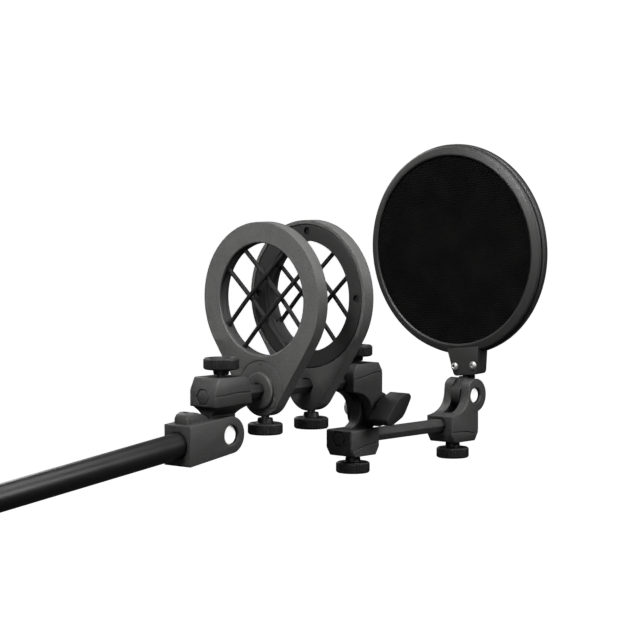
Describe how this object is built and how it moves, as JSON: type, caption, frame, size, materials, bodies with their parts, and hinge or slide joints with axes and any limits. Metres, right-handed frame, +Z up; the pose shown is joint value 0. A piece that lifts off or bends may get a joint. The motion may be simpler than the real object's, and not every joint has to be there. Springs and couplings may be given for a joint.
{
  "type": "microphone shock mount",
  "caption": "Elastic shock mount for a studio microphone on a boom tube end, with two corded rings on a hexagonal bar and a round mesh pop filter on an offset arm.",
  "frame": {"origin": "centre of the flat outer face of the plug in the boom tube's end", "axes": "+X from the boom through both rings to the pop filter, +Z up, the boom tube rises 6.6 degrees towards +X"},
  "size_m": [0.5, 0.1579, 0.2334],
  "materials": {
    "powder_coat": "charcoal fine-textured powder coat on cast blocks",
    "satin_tube": "satin black lacquer",
    "knob_black": "satin black knurled plastic",
    "bare_steel": "turned and polished",
    "elastic_cord": "woven black sleeve over rubber",
    "filter_mesh": "fine black knitted nylon",
    "black_oxide": "black oxide",
    "nylon_black": "moulded black nylon"
  },
  "bodies": {
    "boom": {"boom_tube": "satin_tube", "boom_end_plug": "nylon_black", "boom_clevis": "powder_coat", "clevis_grub_screw": "bare_steel", "clevis_pin": "bare_steel"},
    "left_head": {"left_head": "powder_coat"},
    "upper_bar": {"upper_hex_bar": "black_oxide"},
    "ring_1": {"ring_1_frame": "powder_coat", "ring_1_cord_carrier": "nylon_black", "ring_1_cover": "powder_coat", "ring_1_screw_1": "black_oxide", "ring_1_screw_2": "black_oxide", "ring_1_screw_3": "black_oxide", "ring_1_screw_4": "black_oxide", "ring_1_cord_rising_upper": "elastic_cord", "ring_1_cord_rising_lower": "elastic_cord", "ring_1_cord_falling_upper": "elastic_cord", "ring_1_cord_falling_lower": "elastic_cord"},
    "ring_2": {"ring_2_frame": "powder_coat", "ring_2_cord_carrier": "nylon_black", "ring_2_cover": "powder_coat", "ring_2_screw_1": "black_oxide", "ring_2_screw_2": "black_oxide", "ring_2_screw_3": "black_oxide", "ring_2_screw_4": "black_oxide", "ring_2_cord_rising_upper": "elastic_cord", "ring_2_cord_rising_lower": "elastic_cord", "ring_2_cord_falling_upper": "elastic_cord", "ring_2_cord_falling_lower": "elastic_cord"},
    "right_head": {"right_head": "powder_coat"},
    "slider": {"arm_slider": "powder_coat"},
    "lower_bar": {"lower_hex_bar": "black_oxide"},
    "pop_clamp": {"pop_clamp": "powder_coat", "pop_clamp_pin": "bare_steel"},
    "pop_filter": {"pop_front_frame": "powder_coat", "pop_rear_frame": "powder_coat", "pop_mesh_front": "filter_mesh", "pop_mesh_rear": "filter_mesh", "pop_neck_screw_1": "bare_steel", "pop_neck_screw_2": "bare_steel"},
    "wing": {"wing_lever": "knob_black", "wing_bolt": "bare_steel"},
    "thumb_left_head": {"thumb_left_head_knob": "knob_black", "thumb_left_head_shank": "bare_steel"},
    "thumb_ring_1": {"thumb_ring_1_knob": "knob_black", "thumb_ring_1_shank": "bare_steel"},
    "thumb_ring_2": {"thumb_ring_2_knob": "knob_black", "thumb_ring_2_shank": "bare_steel"},
    "thumb_right_head": {"thumb_right_head_knob": "knob_black", "thumb_right_head_shank": "bare_steel"},
    "thumb_slider": {"thumb_slider_knob": "knob_black", "thumb_slider_shank": "bare_steel"},
    "thumb_pop_clamp": {"thumb_pop_clamp_knob": "knob_black", "thumb_pop_clamp_shank": "bare_steel"}
  },
  "joints": [
    {"name": "head_tilt", "type": "hinge", "parent": "boom", "child": "left_head", "pos_m": [0.22083, 0, 0.02555], "axis": [0, 1, 0], "range_deg": [-6, 40]},
    {"name": "bar_slide", "type": "slide", "parent": "left_head", "child": "upper_bar", "axis": [1, 0, 0], "range_m": [-0.008, 0.015]},
    {"name": "ring_1_slide", "type": "slide", "parent": "upper_bar", "child": "ring_1", "axis": [1, 0, 0], "range_m": [-0.008, 0.008]},
    {"name": "ring_2_slide", "type": "slide", "parent": "upper_bar", "child": "ring_2", "axis": [1, 0, 0], "range_m": [-0.008, 0.004]},
    {"name": "right_head_slide", "type": "slide", "parent": "upper_bar", "child": "right_head", "axis": [1, 0, 0], "range_m": [-0.006, 0]},
    {"name": "arm_tilt", "type": "hinge", "parent": "right_head", "child": "slider", "pos_m": [0.37488, 0, 0.03055], "axis": [0, 1, 0], "range_deg": [-12, 12]},
    {"name": "lower_bar_slide", "type": "slide", "parent": "slider", "child": "lower_bar", "axis": [1, 0, 0], "range_m": [0, 0.015]},
    {"name": "pop_clamp_slide", "type": "slide", "parent": "lower_bar", "child": "pop_clamp", "axis": [1, 0, 0], "range_m": [-0.03, 0]},
    {"name": "pop_tilt", "type": "hinge", "parent": "pop_clamp", "child": "pop_filter", "pos_m": [0.48663, 0, 0.03185], "axis": [0, 1, 0], "range_deg": [-20, 20]},
    {"name": "wing_turn", "type": "hinge", "parent": "right_head", "child": "wing", "pos_m": [0.37488, 0, 0.03055], "axis": [0, -1, 0], "range_deg": [0, 180]},
    {"name": "thumb_left_head_turn", "type": "hinge", "parent": "left_head", "child": "thumb_left_head", "pos_m": [0.22343, 0, 0.05145], "axis": [0, 0, 1], "range_deg": [0, 180]},
    {"name": "thumb_ring_1_turn", "type": "hinge", "parent": "ring_1", "child": "thumb_ring_1", "pos_m": [0.26723, 0, 0.05145], "axis": [0, 0, -1], "range_deg": [0, 180]},
    {"name": "thumb_ring_2_turn", "type": "hinge", "parent": "ring_2", "child": "thumb_ring_2", "pos_m": [0.31483, 0, 0.05145], "axis": [0, 0, -1], "range_deg": [0, 180]},
    {"name": "thumb_right_head_turn", "type": "hinge", "parent": "right_head", "child": "thumb_right_head", "pos_m": [0.36248, 0, 0.05145], "axis": [0, 0, 1], "range_deg": [0, 180]},
    {"name": "thumb_slider_turn", "type": "hinge", "parent": "slider", "child": "thumb_slider", "pos_m": [0.35968, 0, 0.01095], "axis": [0, 0, -1], "range_deg": [0, 180]},
    {"name": "thumb_pop_clamp_turn", "type": "hinge", "parent": "pop_clamp", "child": "thumb_pop_clamp", "pos_m": [0.47423, 0, 0.01095], "axis": [0, 0, -1], "range_deg": [0, 180]}
  ]
}
